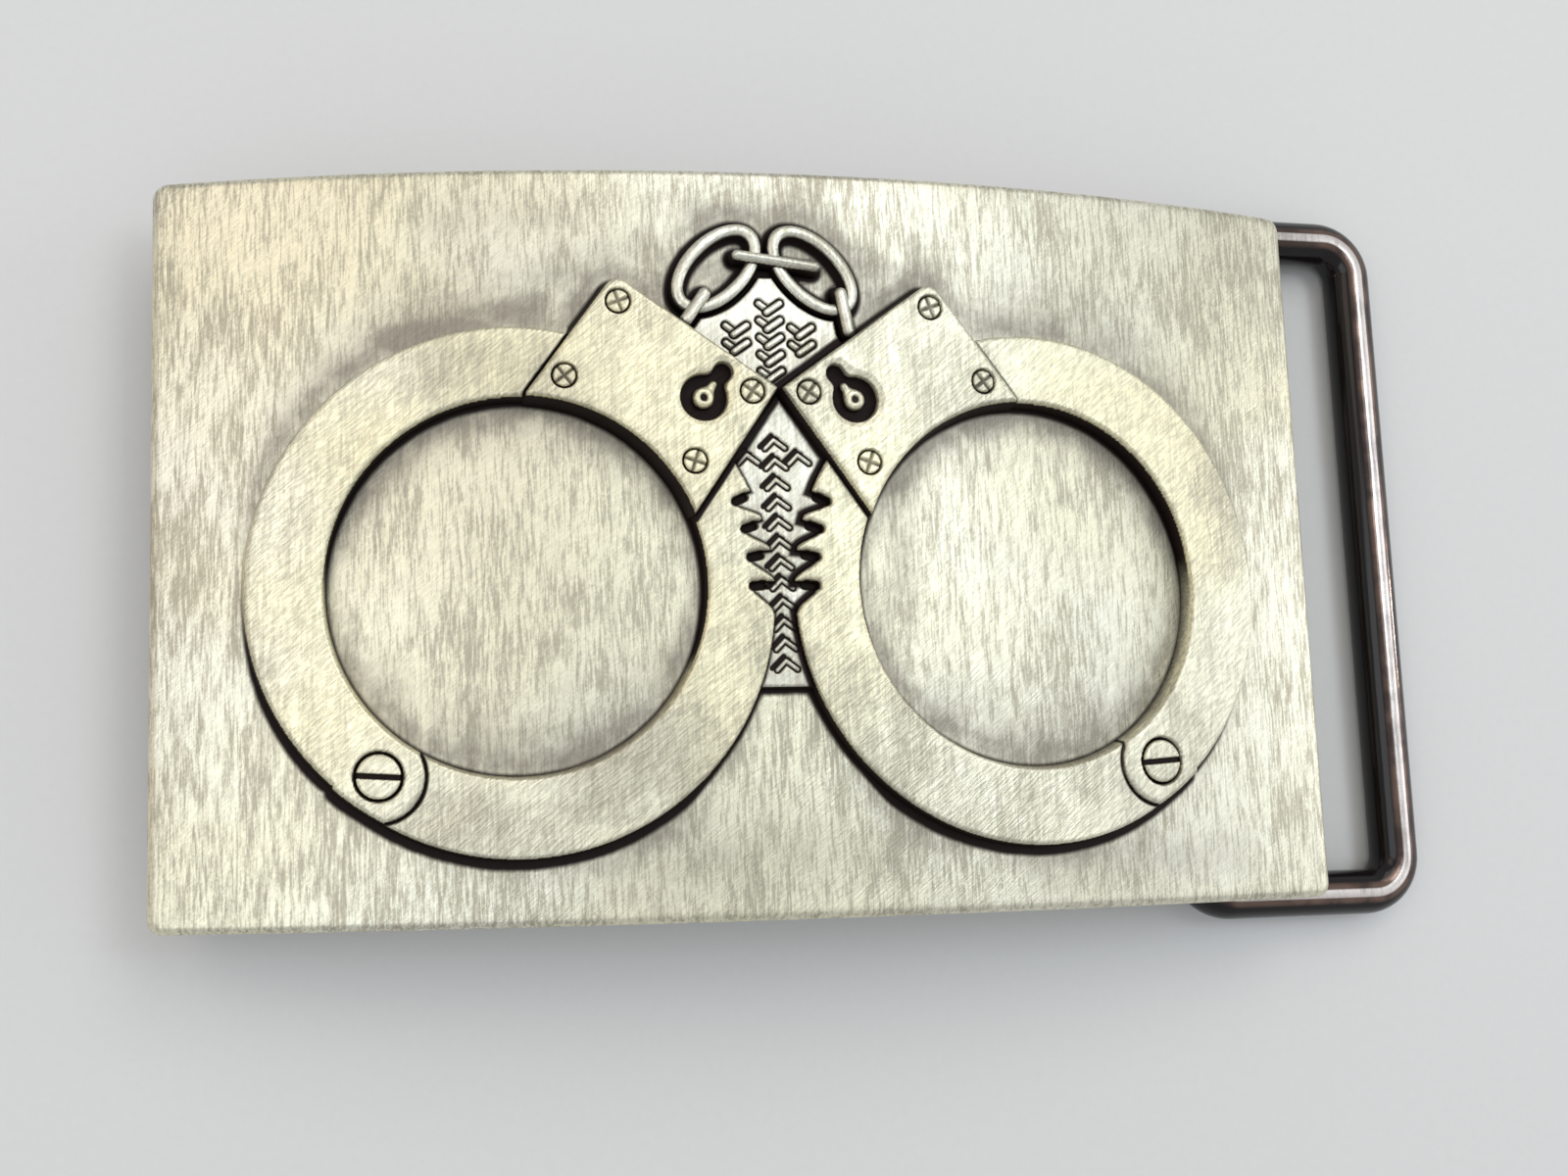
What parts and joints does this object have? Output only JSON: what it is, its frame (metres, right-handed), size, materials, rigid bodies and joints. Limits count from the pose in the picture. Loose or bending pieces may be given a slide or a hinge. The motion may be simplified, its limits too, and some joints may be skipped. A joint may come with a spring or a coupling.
{
  "type": "belt buckle with handcuff relief",
  "caption": "Curved rectangular belt buckle plate with a pair of handcuffs in relief, a belt peg on its back and a swinging wire bail.",
  "frame": {"origin": "middle of the whole outline in X and Y, on the surface that the buckle lies on (Z = 0)", "axes": "+X along the plate towards the bail, +Y up the face, +Z out of the face"},
  "size_m": [0.0924, 0.0534, 0.0152],
  "materials": {
    "plate_brass": "antiqued, brushed",
    "relief_brass": "antiqued, brushed, worn bright on top",
    "back_brass": "dull, as cast",
    "dark_nickel": "polished dark nickel plate"
  },
  "bodies": {
    "buckle": {"face_plate": "plate_brass", "left_cuff_frame": "relief_brass", "right_cuff_frame": "relief_brass", "left_cuff_arm": "relief_brass", "right_cuff_arm": "relief_brass", "left_lock_case": "relief_brass", "right_lock_case": "relief_brass", "left_pivot_screw": "relief_brass", "right_pivot_screw": "relief_brass", "left_case_screws": "plate_brass", "right_case_screws": "plate_brass", "left_keyhole_pin": "relief_brass", "right_keyhole_pin": "relief_brass", "ratchet_panel": "plate_brass", "chain_panel": "plate_brass", "left_chain_link": "plate_brass", "right_chain_link": "plate_brass", "middle_chain_link": "plate_brass", "left_swivel": "relief_brass", "right_swivel": "relief_brass", "upper_bail_lug": "back_brass", "lower_bail_lug": "back_brass", "belt_peg": "back_brass"},
    "bail": {"bail": "dark_nickel"}
  },
  "joints": [
    {"name": "bail_swing", "type": "hinge", "parent": "buckle", "child": "bail", "pos_m": [0.02777, 0, 0.00265], "axis": [0, 1, 0], "range_deg": [-6, 190]}
  ]
}
